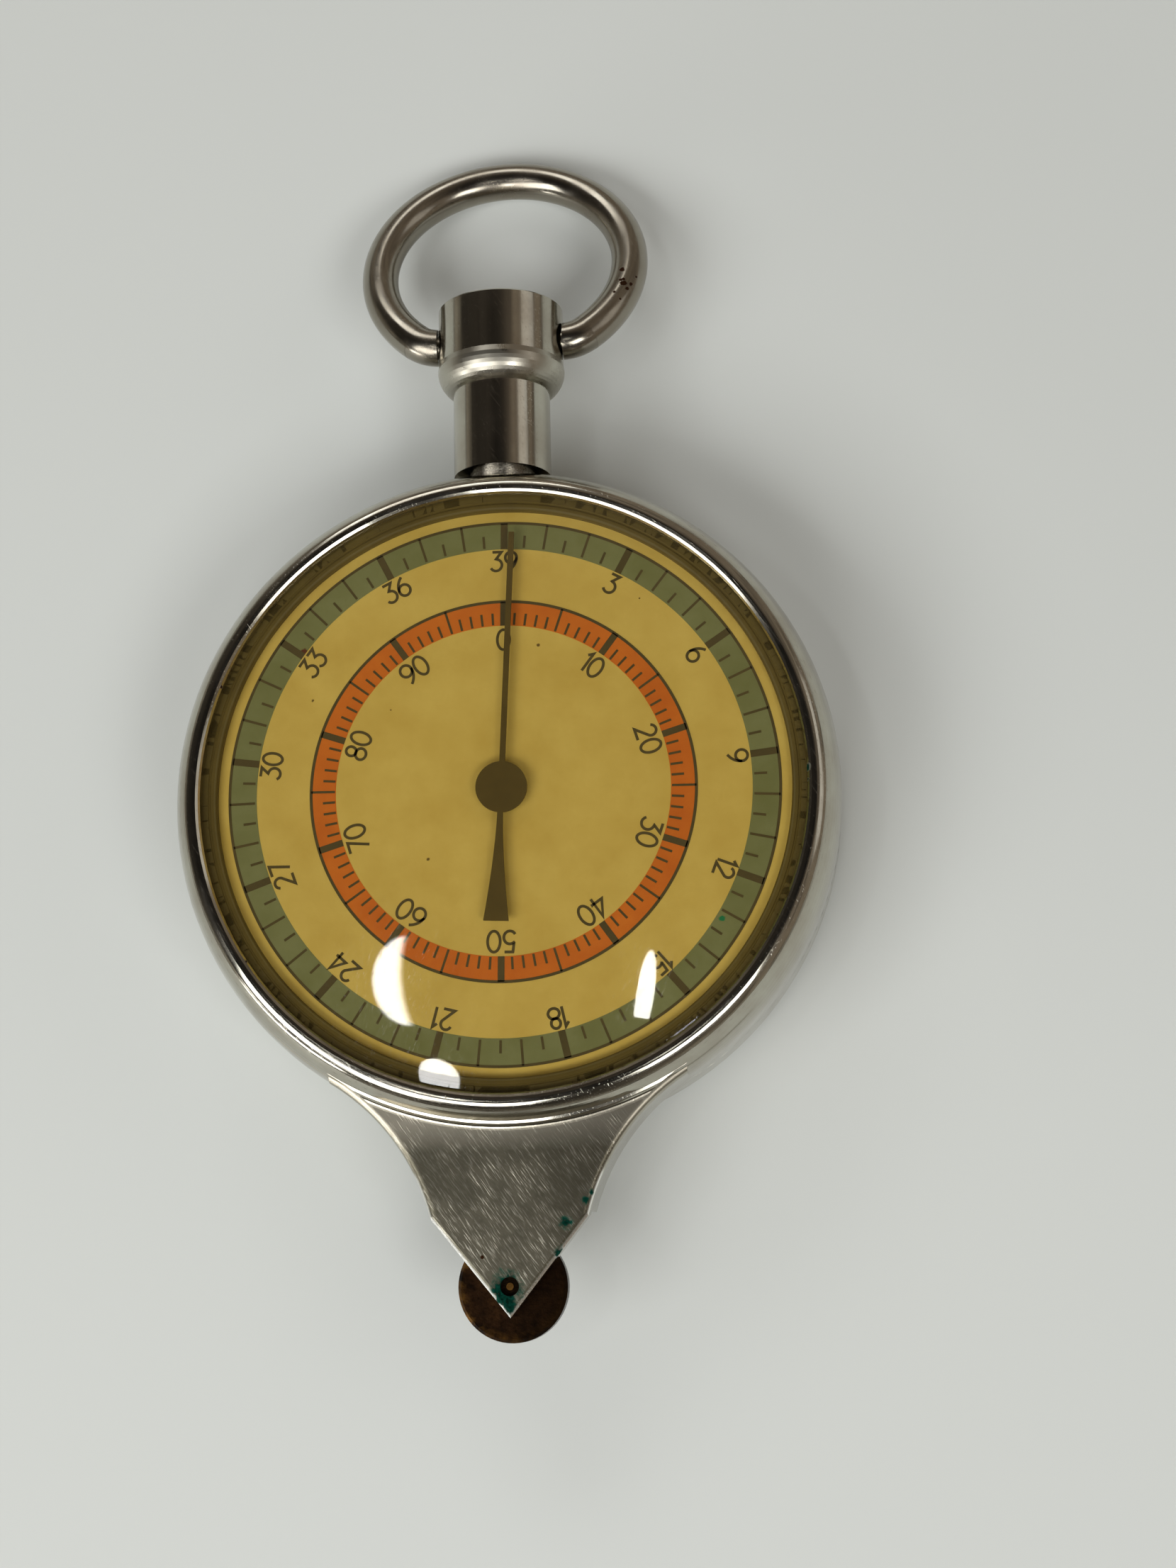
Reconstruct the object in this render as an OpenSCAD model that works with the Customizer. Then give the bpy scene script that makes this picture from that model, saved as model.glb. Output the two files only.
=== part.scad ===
// Opisometer: a pocket map measurer. A small tracing wheel in the nose drives a
// hand over a round dial through three pairs of spur gears.
// It lies on its back: +Z is up through the crystal, +Y runs up to the stem and
// bow, and the origin is on the hand's arbor at the flat of the back.

/* [Case] */
// Outer radius of the round case
case_r = 22.8; // [22.4:0.1:23.4]
// Height of the bezel's crest above the back
crest_z = 11.4; // [11.4:0.05:11.8]
// Radius of the bezel's crest
crest_r = 21.0; // [20.9:0.05:21.1]
// Height of the seam between the front shell and the back cover
seam_z = 5.0; // [4.9:0.05:5.05]
// Radius of the rounded edge of the back
back_round = 2.0; // [1.2:0.1:2.4]

/* [Nose] */
// Distance from the dial's centre to the tip of the nose
nose_tip = 34.9; // [34.7:0.1:35.4]
// Half angle of the nose's V in degrees
nose_half_angle = 38.9; // [38.4:0.1:39.6]
// Half width of the nose where the V meets the swept sides
nose_kink_x = 5.24; // [5.2:0.02:5.4]
// Radius of the swept sides
sweep_r = 15; // [12:0.5:17]
// Height of the nose's front face
nose_z = 9.8; // [9.75:0.05:9.9]
// Thickness of the nose's walls
nose_wall = 0.6; // [0.5:0.02:0.62]

/* [Wheel and train] */
// Diameter of the tracing wheel, a 44th of a metre round
wheel_d = 7.234; // [7.1:0.002:7.3]
// Thickness of the tracing wheel
wheel_t = 1.5; // [1.2:0.1:1.6]
// Distance from the dial's centre to the wheel's axle
wheel_at = 32.9; // [32.88:0.01:32.92]
// Distance from the dial's centre to the first arbor
first_at = 28.58; // [28.56:0.01:28.6]
// Distance from the dial's centre to the second arbor
second_at = 20.4; // [20.38:0.01:20.42]

/* [Dial and hand] */
// Radius of the dial
dial_r = 20.25; // [20:0.05:20.25]
// Reach of the needle from the arbor
needle_reach = 17.9; // [16:0.1:18.6]
// Reach of the hand's tail from the arbor
tail_reach = 9.1; // [7:0.1:10]
// Radius of the hand's hub
hub_r = 1.75; // [1.5:0.05:2]
// Angle of the hand clockwise from the stem at rest, in degrees
hand_turn = 3.0; // [0:0.1:6]
// Height of the crystal's dome above the back
dome_z = 13.0; // [12.8:0.05:13.4]

/* [Stem and bow] */
// Height of the stem's axis above the back
stem_z = 7.4; // [7.35:0.05:7.5]
// Radius of the stem's neck
neck_r = 3.42; // [3.2:0.02:3.44]
// Radius of the stem's head
head_r = 4.43; // [4.2:0.01:4.43]
// Distance from the dial's centre to the top of the head
head_top = 35.4; // [35.2:0.1:36]
// Distance from the dial's centre to the bow's hinge
bow_at = 32.95; // [32.9:0.05:33.1]
// Radius of the bow's ring to the middle of its wire
bow_r = 9.17; // [9:0.01:9.5]
// Distance from the bow's hinge to the middle of its ring
bow_centre = 7.53; // [7.4:0.01:7.6]
// Radius of the bow's wire
wire_r = 1.31; // [1.2:0.01:1.4]

/* [Hidden] */
$fn = 96;

nickel = "#B9B4AA";
brass = "#B89A54";
steel = "#8E8C88";
eps = 0.01;
over = 1;

// Case: radii and heights, from the outside in
shoulder_drop = 4.0;
bezel_r = 22.0;
bezel_bore = 20.5;
lip_round = 0.5;
seat_r = 21.5;
nose_root_r = 21.75;
skirt_r = 21.45;
shell_bore = 21.4;
flange_r = 20.3;
flange_z = 9.6;
flange_t = 0.4;
flange_top = flange_z + flange_t;
lip_z = 10.85;
rim_r = 22.1;
rim_h = 0.65;
ledge_r = 20.8;
cup_wall = 0.8;
fit_gap = 0.05;
shoulder_steps = 12;

// Nose: the V, the swept sides and what is cut from them
tip_y = -nose_tip;
flank_slope = tan(nose_half_angle);
kink_y = tip_y + nose_kink_x / flank_slope;
face_t = 0.65;
nose_inner_z = nose_z - face_t;
edge_round = 0.5;
flank_bevel = 0.3;
fork_gap_side = 0.1;
fork_past_kink = 0.3;
fork_z = stem_z + wheel_t / 2 + fork_gap_side;
cove_r = 0.45;
plate_t = 0.65;
plate_gap = 0.05;
post_r = 0.8;
post_x = 5.0;
post_y = -25.3;

// Sweep centre: its circle touches the case's circle and passes through the kink
function sweep_miss(b) =
    norm([(case_r + sweep_r) * sin(b) - nose_kink_x, (case_r + sweep_r) * cos(b) + kink_y]) - sweep_r;
function solve_sweep(lo, hi, n) =
    n == 0 ? (lo + hi) / 2 :
    let (mid = (lo + hi) / 2)
    sweep_miss(mid) > 0 ? solve_sweep(lo, mid, n - 1) : solve_sweep(mid, hi, n - 1);
sweep_angle = solve_sweep(20, 45, 30);
sweep_x = (case_r + sweep_r) * sin(sweep_angle);
sweep_y = -(case_r + sweep_r) * cos(sweep_angle);
join_x = case_r * sin(sweep_angle);
join_y = -case_r * cos(sweep_angle);

// Movement: heights of the plates and gears
wheel_r = wheel_d / 2;
wheel_lo = stem_z - wheel_t / 2;
wheel_hi = stem_z + wheel_t / 2;
low_gear_z = 5.75;
low_gear_t = 0.75;
high_gear_z = 8.35;
high_gear_t = 0.6;
high_leaf_z = 8.3;
high_leaf_t = 0.75;
drive_leaf_z = 6.6;
drive_leaf_t = 1.0;
centre_gear_z = 6.7;
centre_gear_t = 0.8;
front_plate_z = nose_inner_z;
front_plate_t = flange_z - front_plate_z;
movement_r = 21.2;
pillar_at = 18.9;
pillar_r = 1.1;
pillar_angles = [90, 205, 335];
screw_r = 0.45;
screw_head_r = 0.85;
screw_head_t = 0.3;
screw_grip = 1.6;
tap_depth = 1.0;
pivot_r = 0.24;
small_pivot_r = 0.2;
running_gap = 0.03;
end_shake = 0.05;
wheel_core_r = 0.5;
first_core_r = 0.4;
second_core_r = 0.8;
centre_pivot_r = 0.4;
centre_core_r = 0.9;
centre_shaft_r = 0.6;
hand_shaft_r = 0.45;
bush_r = 1.5;
oil_sink_r = 0.62;
bush_t = 0.35;
bush_lip = 0.3;
foot_r = 0.35;
foot_x = 9;
foot_y = 3;
foot_end = 0.2;

// Gears: [teeth, module, profile shift]; each pair's distance sets its module
pressure_angle = 25;
addendum = 0.85;
dedendum = 1.1;
flank_steps = 3;
wheel_leaves = 6;
first_teeth = 30;
first_leaves = 10;
second_teeth = 22;
second_leaves = 16;
centre_teeth = 64;
first_module = 2 * (wheel_at - first_at) / (wheel_leaves + first_teeth);
second_module = 2 * (first_at - second_at) / (first_leaves + second_teeth);
centre_module = 2 * second_at / (second_leaves + centre_teeth);
first_shift = 0.4;
second_shift = 0.2;
fine_backlash = 0.04;
coarse_backlash = 0.07;

// Dial stack
dial_hole_r = 1.6;
ring_r = 19.7;
ring_outer_r = 20.95;
ring_top = 10.6;
crystal_wall_r = 20.42;
crystal_flange_t = 0.22;
crystal_t = 0.8;
crystal_edge_z = 11.25;
crystal_inner_r = 19.7;
dome_sphere = (pow(crystal_wall_r, 2) + pow(dome_z - crystal_edge_z, 2)) / (2 * (dome_z - crystal_edge_z));
hand_z = 10.5;
hand_t = 0.2;
needle_w = 0.38;
tail_w = 1.7;
tail_steps = 8;
collet_r = 1.1;
collet_z = flange_top + 0.15;

// Stem and bow
neck_end = 22.9;
neck_top = 29.1;
head_end = 31.2;
collar_r = 4.5;
stud_r = 1.2;
stud_reach = 27;
stud_collar_r = 2.3;
stud_seat = 22.5;
stud_nut_r = 1.7;
stud_nut_t = 0.9;
stud_inner = 21.2;
nut_let_in = 0.3;
hinge_r = 0.8;
hinge_reach = 2.4;
head_gap = 0.05;
bow_cut = head_r + head_gap;
bow_bend_r = 2.6;
bow_bend_x = sqrt(pow(bow_r - bow_bend_r, 2) - pow(bow_centre - bow_bend_r, 2));
bow_bend_angle = acos((bow_centre - bow_bend_r) / (bow_r - bow_bend_r));
bow_lean = asin((stem_z - wire_r) / (bow_centre + bow_r));

// Height of the bezel and shoulder curve at a radius outside the crest
function shoulder(r) =
    crest_z - shoulder_drop * (1 - sqrt(max(0, 1 - pow((r - crest_r) / (case_r - crest_r), 2))));
bezel_seam = shoulder(bezel_r);

// Points of a spur gear's outline; the first tooth is centred on angle start
function polar(r, a) = [r * cos(a), r * sin(a)];
function involute(a) = tan(a) * 180 / PI - a;
function gear_points(teeth, m, shift, backlash, start) =
    let (
        pitch_r = m * teeth / 2,
        base_r = pitch_r * cos(pressure_angle),
        root_r = pitch_r - m * (dedendum - shift),
        tip_r = pitch_r + m * (addendum + shift),
        low_r = max(base_r, root_r),
        tooth_w = m * (PI / 2 + 2 * shift * tan(pressure_angle)) - backlash,
        half = tooth_w / pitch_r * 90 / PI + involute(pressure_angle),
        radii = [for (i = [0 : flank_steps]) low_r + (tip_r - low_r) * i / flank_steps],
        spread = [for (r = radii) half - involute(acos(min(1, base_r / r)))]
    )
    [for (k = [0 : teeth - 1])
        let (mid = start + 360 * k / teeth)
        each concat(
            [polar(root_r, mid - spread[0])],
            [for (i = [0 : flank_steps]) polar(radii[i], mid - spread[i])],
            [for (i = [flank_steps : -1 : 0]) polar(radii[i], mid + spread[i])],
            [polar(root_r, mid + spread[0])]
        )];

// A gear with its first gap or tooth towards its driver, which lies towards -Y
module gear(teeth, m, shift, backlash, start, z, t) {
    translate([0, 0, z])
        linear_extrude(t)
            polygon(gear_points(teeth, m, shift, backlash, start));
}

module rod(r, z0, z1) {
    translate([0, 0, z0])
        cylinder(r = r, h = z1 - z0);
}

// A cylinder along +Y on the stem's axis
module stem_rod(r, y0, y1) {
    translate([0, y0, stem_z])
        rotate([-90, 30, 0])
            cylinder(r = r, h = y1 - y0);
}

module at_pillars() {
    for (a = pillar_angles)
        rotate(a)
            translate([pillar_at, 0, 0])
                children();
}

module mirrored() {
    children();
    mirror([1, 0, 0])
        children();
}

// A countersunk screw; its head lies at z = 0 and its shank runs towards +Z
module screw(length) {
    slot_w = 0.2;
    difference() {
        union() {
            cylinder(r1 = screw_head_r, r2 = screw_r, h = screw_head_t);
            cylinder(r = screw_r, h = length);
        }
        translate([-screw_head_r, -slot_w / 2, -eps])
            cube([2 * screw_head_r, slot_w, slot_w]);
    }
}

// The seat of a screw's head, open at z = 0
module countersink() {
    flare = (screw_head_r - screw_r) / screw_head_t;
    translate([0, 0, -eps])
        cylinder(r1 = screw_head_r + eps * flare, r2 = screw_r, h = screw_head_t + eps);
}

// Outline of the nose from its tip to the case, drawn in by inset
module nose_outline(inset) {
    apex = tip_y + inset / sin(nose_half_angle);
    reach = nose_kink_x + over;
    difference() {
        polygon([
            [0, apex],
            [reach, apex + reach / flank_slope],
            [join_x, join_y],
            [join_x, join_y + 2 * over],
            [-join_x, join_y + 2 * over],
            [-join_x, join_y],
            [-reach, apex + reach / flank_slope]
        ]);
        mirrored()
            translate([sweep_x, sweep_y])
                circle(r = sweep_r + inset);
    }
}

// Cutter that rounds the swept side's edge on the front face
module sweep_edge() {
    translate([sweep_x, sweep_y, nose_z])
        rotate_extrude()
            translate([sweep_r, -edge_round])
                difference() {
                    translate([-eps, 0])
                        square([edge_round + eps, edge_round + eps]);
                    translate([edge_round, 0])
                        circle(r = edge_round);
                }
}

// Cutter that bevels the V's edge on the front face
module flank_edge() {
    side = flank_bevel * sqrt(2);
    flank = nose_kink_x / sin(nose_half_angle);
    translate([0, tip_y, nose_z])
        rotate(-nose_half_angle)
            rotate([0, 45, 0])
                translate([-side / 2, -over, -side / 2])
                    cube([side, flank + 2 * over, side]);
}

module nose_solid() {
    difference() {
        translate([0, 0, seam_z])
            linear_extrude(nose_z - seam_z)
                nose_outline(0);
        mirrored()
            sweep_edge();
        mirrored()
            flank_edge();
    }
}

module nose_hollow() {
    translate([0, 0, seam_z - eps])
        linear_extrude(nose_inner_z - seam_z + eps)
            nose_outline(nose_wall);
}

// Opening between the fork's front lip and its rear plate
module fork_gap() {
    fork_end = kink_y + fork_past_kink;
    translate([-nose_kink_x - over, tip_y - over, seam_z - eps])
        cube([2 * (nose_kink_x + over), fork_end - tip_y + over, fork_z - seam_z + eps]);
}

module drum_ring() {
    curve = [for (i = [0 : shoulder_steps])
        let (a = 90 * i / shoulder_steps, r = crest_r + (case_r - crest_r) * cos(a))
        if (r > bezel_r) [r, shoulder(r)]];
    rotate_extrude($fn = 144)
        polygon(concat(
            [[rim_r, seam_z], [case_r, seam_z]],
            curve,
            [
                [bezel_r, bezel_seam],
                [seat_r, bezel_seam],
                [seat_r, flange_top],
                [flange_r, flange_top],
                [flange_r, flange_z],
                [shell_bore, flange_z],
                [shell_bore, seam_z + rim_h + fit_gap],
                [rim_r, seam_z + rim_h + fit_gap]
            ]
        ));
}

// Small hollow fillet where the nose's face meets the case's shoulder
module face_cove() {
    root = 0.3;
    foot = crest_r + (case_r - crest_r) * sqrt(1 - pow(1 - (crest_z - nose_z) / shoulder_drop, 2));
    hollow = [for (a = [15 : 15 : 75])
        [foot + cove_r * (1 - sin(a)), nose_z + cove_r * (1 - cos(a))]];
    intersection() {
        rotate_extrude($fn = 144)
            polygon(concat(
                [[foot - root, nose_z - root], [foot + cove_r, nose_z - root], [foot + cove_r, nose_z]],
                hollow,
                [[foot - root, nose_z + cove_r]]
            ));
        translate([0, 0, nose_z - root - eps])
            linear_extrude(root + cove_r + over)
                nose_outline(edge_round);
    }
}

module case_body() {
    color(nickel)
    difference() {
        union() {
            drum_ring();
            difference() {
                union() {
                    nose_solid();
                    face_cove();
                }
                rod(nose_root_r, seam_z - over, nose_z + over);
            }
        }
        difference() {
            nose_hollow();
            mirrored()
                translate([post_x, post_y, 0])
                    rod(post_r, seam_z + plate_t, nose_z);
        }
        fork_gap();
        mirrored()
            translate([post_x, post_y, 0])
                rod(screw_r, seam_z - over, seam_z + plate_t + screw_grip);
        translate([0, -wheel_at, 0])
            rod(oil_sink_r, nose_inner_z - over, nose_z + over);
        translate([0, -first_at, 0])
            rod(small_pivot_r + running_gap, nose_inner_z - over, nose_inner_z + bush_t);
        stem_rod(stud_r, stud_inner - over, case_r + over);
        stem_rod(stud_collar_r, stud_seat, case_r + over);
        stem_rod(stud_nut_r, stud_inner - over, stud_inner + nut_let_in);
    }
}

module back_cover() {
    round_steps = 8;
    edge = [for (i = [0 : round_steps])
        let (a = 90 * i / round_steps)
        [case_r - back_round + back_round * sin(a), back_round - back_round * cos(a)]];
    inner_r = case_r - cup_wall;
    ledge_slope = 0.4;
    floor_slope = 1;
    color(nickel)
    rotate_extrude($fn = 144)
        polygon(concat(
            [[0, 0]],
            edge,
            [
                [case_r, seam_z],
                [rim_r - fit_gap, seam_z],
                [rim_r - fit_gap, seam_z + rim_h],
                [shell_bore + fit_gap, seam_z + rim_h],
                [shell_bore + fit_gap, seam_z],
                [ledge_r, seam_z],
                [ledge_r, seam_z - cup_wall],
                [inner_r, seam_z - cup_wall - ledge_slope],
                [inner_r, back_round],
                [inner_r - floor_slope, cup_wall],
                [0, cup_wall]
            ]
        ));
}

module nose_plate() {
    color(nickel)
    difference() {
        translate([0, 0, seam_z])
            linear_extrude(plate_t)
                difference() {
                    nose_outline(nose_wall + plate_gap);
                    circle(r = rim_r + plate_gap, $fn = 144);
                }
        translate([0, -wheel_at, 0])
            rod(pivot_r + running_gap, seam_z - over, seam_z + over);
        translate([0, -first_at, 0])
            rod(small_pivot_r + running_gap, seam_z - over, seam_z + over);
        mirrored()
            translate([post_x, post_y, seam_z]) {
                rod(screw_r, -over, plate_t + over);
                countersink();
            }
    }
}

module nose_plate_screws() {
    color(steel)
    mirrored()
        translate([post_x, post_y, seam_z])
            screw(plate_t + screw_grip);
}

module bezel() {
    lip = [for (i = [0 : 4])
        let (a = 90 * i / 4)
        [bezel_bore + lip_round * (1 - cos(a)), crest_z - lip_round * (1 - sin(a))]];
    curve = [for (i = [1 : shoulder_steps])
        let (r = crest_r + (bezel_r - crest_r) * i / shoulder_steps)
        [r, shoulder(r)]];
    color(nickel)
    rotate_extrude($fn = 144)
        polygon(concat(
            [[bezel_bore, lip_z]],
            lip,
            curve,
            [
                [skirt_r, bezel_seam],
                [skirt_r, flange_top],
                [ring_outer_r + fit_gap, flange_top],
                [ring_outer_r + fit_gap, lip_z]
            ]
        ));
}

module crystal() {
    color("#D9C98A", 0.45)
    difference() {
        union() {
            intersection() {
                translate([0, 0, dome_z - dome_sphere])
                    sphere(r = dome_sphere, $fn = 144);
                rod(crystal_wall_r, ring_top, dome_z + over);
            }
            rod(ring_outer_r, ring_top, ring_top + crystal_flange_t);
        }
        intersection() {
            translate([0, 0, dome_z - dome_sphere])
                sphere(r = dome_sphere - crystal_t, $fn = 144);
            rod(crystal_inner_r, ring_top - over, dome_z + over);
        }
    }
}

module crystal_ring() {
    color("#5A4A1E")
    difference() {
        rod(ring_outer_r, flange_top, ring_top);
        rod(ring_r, flange_top - over, ring_top + over);
    }
}

module dial() {
    color("#C9AE62")
    difference() {
        rod(dial_r, flange_z, flange_top);
        rod(dial_hole_r, flange_z - over, flange_top + over);
    }
}

module dial_feet() {
    color(brass)
    for (s = [-1, 1])
        translate([s * foot_x, s * foot_y, 0])
            rod(foot_r, front_plate_z - foot_end, flange_z);
}

module front_plate() {
    color(brass)
    difference() {
        rod(movement_r, front_plate_z, flange_z);
        rod(bush_r, front_plate_z - over, flange_z + over);
        translate([0, -second_at, 0])
            rod(pivot_r + running_gap, front_plate_z - over, flange_z + over);
        for (s = [-1, 1])
            translate([s * foot_x, s * foot_y, 0])
                rod(foot_r, front_plate_z - over, flange_z + over);
        at_pillars() {
            rod(screw_r, front_plate_z - over, flange_z + over);
            translate([0, 0, flange_z])
                mirror([0, 0, 1])
                    countersink();
        }
    }
}

module rear_plate() {
    color(brass)
    difference() {
        rod(movement_r, seam_z, seam_z + plate_t);
        rod(centre_pivot_r + running_gap, seam_z - over, seam_z + over);
        translate([0, -second_at, 0])
            rod(pivot_r + running_gap, seam_z - over, seam_z + over);
        at_pillars() {
            rod(screw_r, seam_z - over, seam_z + over);
            translate([0, 0, seam_z])
                countersink();
        }
    }
}

module plate_pillars() {
    color(brass)
    at_pillars()
        difference() {
            rod(pillar_r, seam_z + plate_t, front_plate_z);
            rod(screw_r, seam_z, seam_z + plate_t + tap_depth);
            rod(screw_r, front_plate_z - tap_depth, front_plate_z + over);
        }
}

module plate_screws() {
    color(steel)
    at_pillars() {
        translate([0, 0, seam_z])
            screw(plate_t + tap_depth);
        translate([0, 0, flange_z])
            mirror([0, 0, 1])
                screw(front_plate_t + tap_depth);
    }
}

module centre_bush() {
    color(brass)
    difference() {
        rod(bush_r, front_plate_z - bush_lip, flange_z);
        rod(centre_shaft_r + running_gap, front_plate_z - over, flange_z + over);
    }
}

module nose_bush() {
    color(brass)
    translate([0, -wheel_at, 0])
        difference() {
            rod(oil_sink_r, nose_inner_z, nose_inner_z + bush_t);
            rod(pivot_r + running_gap, nose_inner_z - over, nose_z + over);
        }
}

module stem_stud() {
    color(steel) {
        stem_rod(stud_r, stud_inner, stud_reach);
        stem_rod(stud_collar_r, stud_seat, neck_end);
        stem_rod(stud_nut_r, stud_inner - stud_nut_t, stud_inner + nut_let_in);
    }
}

// Half profile of the stem's neck, [radius, distance along +Y]
module neck_profile() {
    steps = 8;
    bulge = 0.62;
    collar_land = 0.4;
    neck_land = 0.2;
    collar_end = head_end - collar_land;
    flare = [for (i = [0 : steps])
        let (a = 90 * i / steps, rise = bulge * (1 - cos(a)) + (1 - bulge) * i / steps)
        [neck_r + (collar_r - neck_r) * sin(a), neck_top + (collar_end - neck_top) * rise]];
    polygon(concat(
        [[stud_r, neck_end], [neck_r, neck_end], [neck_r, neck_top - neck_land]],
        flare,
        [[head_r, head_end], [0, head_end], [0, stud_reach], [stud_r, stud_reach]]
    ));
}

module stem_neck() {
    color(nickel)
    translate([0, 0, stem_z])
        rotate([-90, 0, 0])
            rotate_extrude()
                neck_profile();
}

module stem_head() {
    edge = 0.12;
    color(nickel)
    difference() {
        translate([0, 0, stem_z])
            rotate([-90, 0, 0])
                rotate_extrude()
                    polygon([
                        [0, head_end],
                        [head_r, head_end],
                        [head_r, head_top - edge],
                        [head_r - edge, head_top],
                        [0, head_top]
                    ]);
        translate([-head_r - over, bow_at, stem_z])
            rotate([0, 90, 0])
                cylinder(r = hinge_r + running_gap, h = 2 * (head_r + over));
    }
}

module tracing_wheel() {
    rim_bevel = 0.2;
    color("#4A3524")
    translate([0, -wheel_at, 0])
        rotate_extrude()
            polygon([
                [wheel_core_r, wheel_lo],
                [wheel_r - rim_bevel, wheel_lo],
                [wheel_r, wheel_lo + rim_bevel],
                [wheel_r, wheel_hi - rim_bevel],
                [wheel_r - rim_bevel, wheel_hi],
                [wheel_core_r, wheel_hi]
            ]);
}

module wheel_arbor() {
    color(steel)
    translate([0, -wheel_at, 0]) {
        gear(wheel_leaves, first_module, first_shift, fine_backlash, 90, low_gear_z, low_gear_t);
        rod(wheel_core_r, low_gear_z + low_gear_t, nose_inner_z - end_shake);
        rod(pivot_r, seam_z + end_shake, nose_inner_z + bush_t + end_shake);
    }
}

module first_gear() {
    color(brass)
    translate([0, -first_at, 0])
        difference() {
            gear(first_teeth, first_module, -first_shift, fine_backlash,
                -90 - 180 / first_teeth, low_gear_z, low_gear_t);
            rod(first_core_r, 0, crest_z);
        }
}

module first_arbor() {
    color(steel)
    translate([0, -first_at, 0]) {
        rod(first_core_r, low_gear_z, high_leaf_z);
        gear(first_leaves, second_module, second_shift, coarse_backlash, 90, high_leaf_z, high_leaf_t);
        rod(small_pivot_r, seam_z + end_shake, nose_inner_z + bush_t - end_shake);
    }
}

module second_gear() {
    color(brass)
    translate([0, -second_at, 0])
        difference() {
            gear(second_teeth, second_module, -second_shift, coarse_backlash,
                -90 - 180 / second_teeth, high_gear_z, high_gear_t);
            rod(second_core_r, 0, crest_z);
        }
}

module second_arbor() {
    color(steel)
    translate([0, -second_at, 0]) {
        gear(second_leaves, centre_module, 0, coarse_backlash, 90, drive_leaf_z, drive_leaf_t);
        rod(wheel_core_r, low_gear_z, drive_leaf_z);
        rod(second_core_r, drive_leaf_z + drive_leaf_t, high_gear_z + high_gear_t);
        rod(pivot_r, seam_z + end_shake, flange_z - end_shake);
    }
}

module centre_gear() {
    rim_in = 13.6;
    boss_out = 3.2;
    spokes = 4;
    spoke_w = 2;
    color(brass)
    translate([0, 0, centre_gear_z])
        linear_extrude(centre_gear_t)
            difference() {
                polygon(gear_points(
                    centre_teeth, centre_module, 0, coarse_backlash, -90 - 180 / centre_teeth
                ));
                circle(r = centre_core_r);
                difference() {
                    circle(r = rim_in);
                    circle(r = boss_out);
                    for (k = [0 : spokes / 2 - 1])
                        rotate(45 + k * 90)
                            translate([-rim_in, -spoke_w / 2])
                                square([2 * rim_in, spoke_w]);
                }
            }
}

module centre_arbor() {
    color(steel) {
        rod(centre_pivot_r, seam_z + end_shake, low_gear_z);
        rod(centre_core_r, low_gear_z, front_plate_z - bush_lip - end_shake);
        rod(centre_shaft_r, front_plate_z - bush_lip - end_shake, collet_z);
        rod(hand_shaft_r, collet_z, hand_z + hand_t);
    }
}

module hand_collet() {
    color("#54441A")
    difference() {
        rod(collet_r, collet_z, hand_z);
        rod(hand_shaft_r, flange_top, hand_z + over);
    }
}

module hand() {
    flare = 1.6;
    side = concat(
        [[needle_w / 2, needle_reach]],
        [for (i = [0 : tail_steps])
            let (t = i / tail_steps)
            [needle_w / 2 + (tail_w - needle_w) / 2 * pow(t, flare), -hub_r - (tail_reach - hub_r) * t]]
    );
    other_side = [for (i = [len(side) - 1 : -1 : 0]) [-side[i][0], side[i][1]]];
    color("#54441A")
    rotate(-hand_turn)
        difference() {
            union() {
                rod(hub_r, hand_z, hand_z + hand_t);
                translate([0, 0, hand_z])
                    linear_extrude(hand_t)
                        polygon(concat(side, other_side));
            }
            rod(hand_shaft_r, hand_z - over, hand_z + over);
        }
}

// The bow's wire turned through an angle about a bend's middle
module wire_bend(wire, radius, start, sweep) {
    rotate(start)
        rotate_extrude(angle = sweep, $fn = 144)
            translate([radius, 0])
                circle(r = wire, $fn = 48);
}

// A ring whose ends turn inwards to its hinge pins in the stem's head. The bends are a hair
// thinner than the ring, and end just inside it.
module bow() {
    hair = 0.01;
    let_in = 2;
    color(nickel)
    translate([0, bow_at, stem_z])
        rotate([-bow_lean, 0, 0]) {
            translate([0, bow_centre, 0])
                wire_bend(wire_r, bow_r, bow_bend_angle - 90, 360 - 2 * bow_bend_angle);
            mirrored() {
                difference() {
                    translate([bow_bend_x, bow_bend_r, 0])
                        wire_bend(wire_r - hair, bow_bend_r, -90, bow_bend_angle + let_in);
                    translate([-bow_cut, -bow_bend_r, -bow_bend_r])
                        cube([2 * bow_cut, 2 * bow_bend_r, 2 * bow_bend_r]);
                }
                translate([hinge_reach, 0, 0])
                    rotate([0, 90, 0])
                        cylinder(r = hinge_r, h = bow_cut + wire_r / 2 - hinge_reach);
            }
        }
}

case_body();
back_cover();
nose_plate();
nose_plate_screws();
bezel();
crystal();
crystal_ring();
dial();
dial_feet();
front_plate();
rear_plate();
plate_pillars();
plate_screws();
centre_bush();
nose_bush();
stem_stud();
stem_neck();
stem_head();
tracing_wheel();
wheel_arbor();
first_gear();
first_arbor();
second_gear();
second_arbor();
centre_gear();
centre_arbor();
hand_collet();
hand();
bow();
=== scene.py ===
"""The looks of a pocket map measurer: case, printed dial, hand, domed crystal and wheel.

Laid out as a Blender add-on and run as a script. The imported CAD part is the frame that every
piece is fitted to, in metres: +Z is out through the crystal and +Y is towards the stem and bow.
"""

import math

import bmesh
import bpy
from mathutils import Matrix, Vector


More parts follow.
